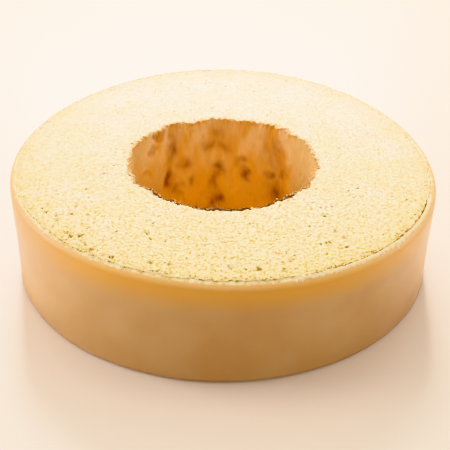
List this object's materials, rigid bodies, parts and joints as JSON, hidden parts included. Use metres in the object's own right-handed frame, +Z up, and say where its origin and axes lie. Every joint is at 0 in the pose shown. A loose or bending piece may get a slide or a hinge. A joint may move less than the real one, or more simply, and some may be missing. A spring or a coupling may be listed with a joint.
{
  "type": "baumkuchen ring cake",
  "caption": "Whole ring-shaped baumkuchen: pale layered crumb with a flat cut top, an open centre hole with a browned wall, and smooth sugar icing round its outer side.",
  "frame": {"origin": "centre of the bounding box's bottom face, in the middle of the hole on the surface that the cake lies on", "axes": "+Z up along the hole's axis; -Y towards the side that the picture shows"},
  "size_m": [0.1492, 0.1508, 0.0401],
  "materials": {
    "sponge_crumb": "matte, finely porous",
    "sugar_icing": "smooth satin"
  },
  "bodies": {
    "root": {"sponge": "sponge_crumb", "icing": "sugar_icing"}
  },
  "joints": []
}
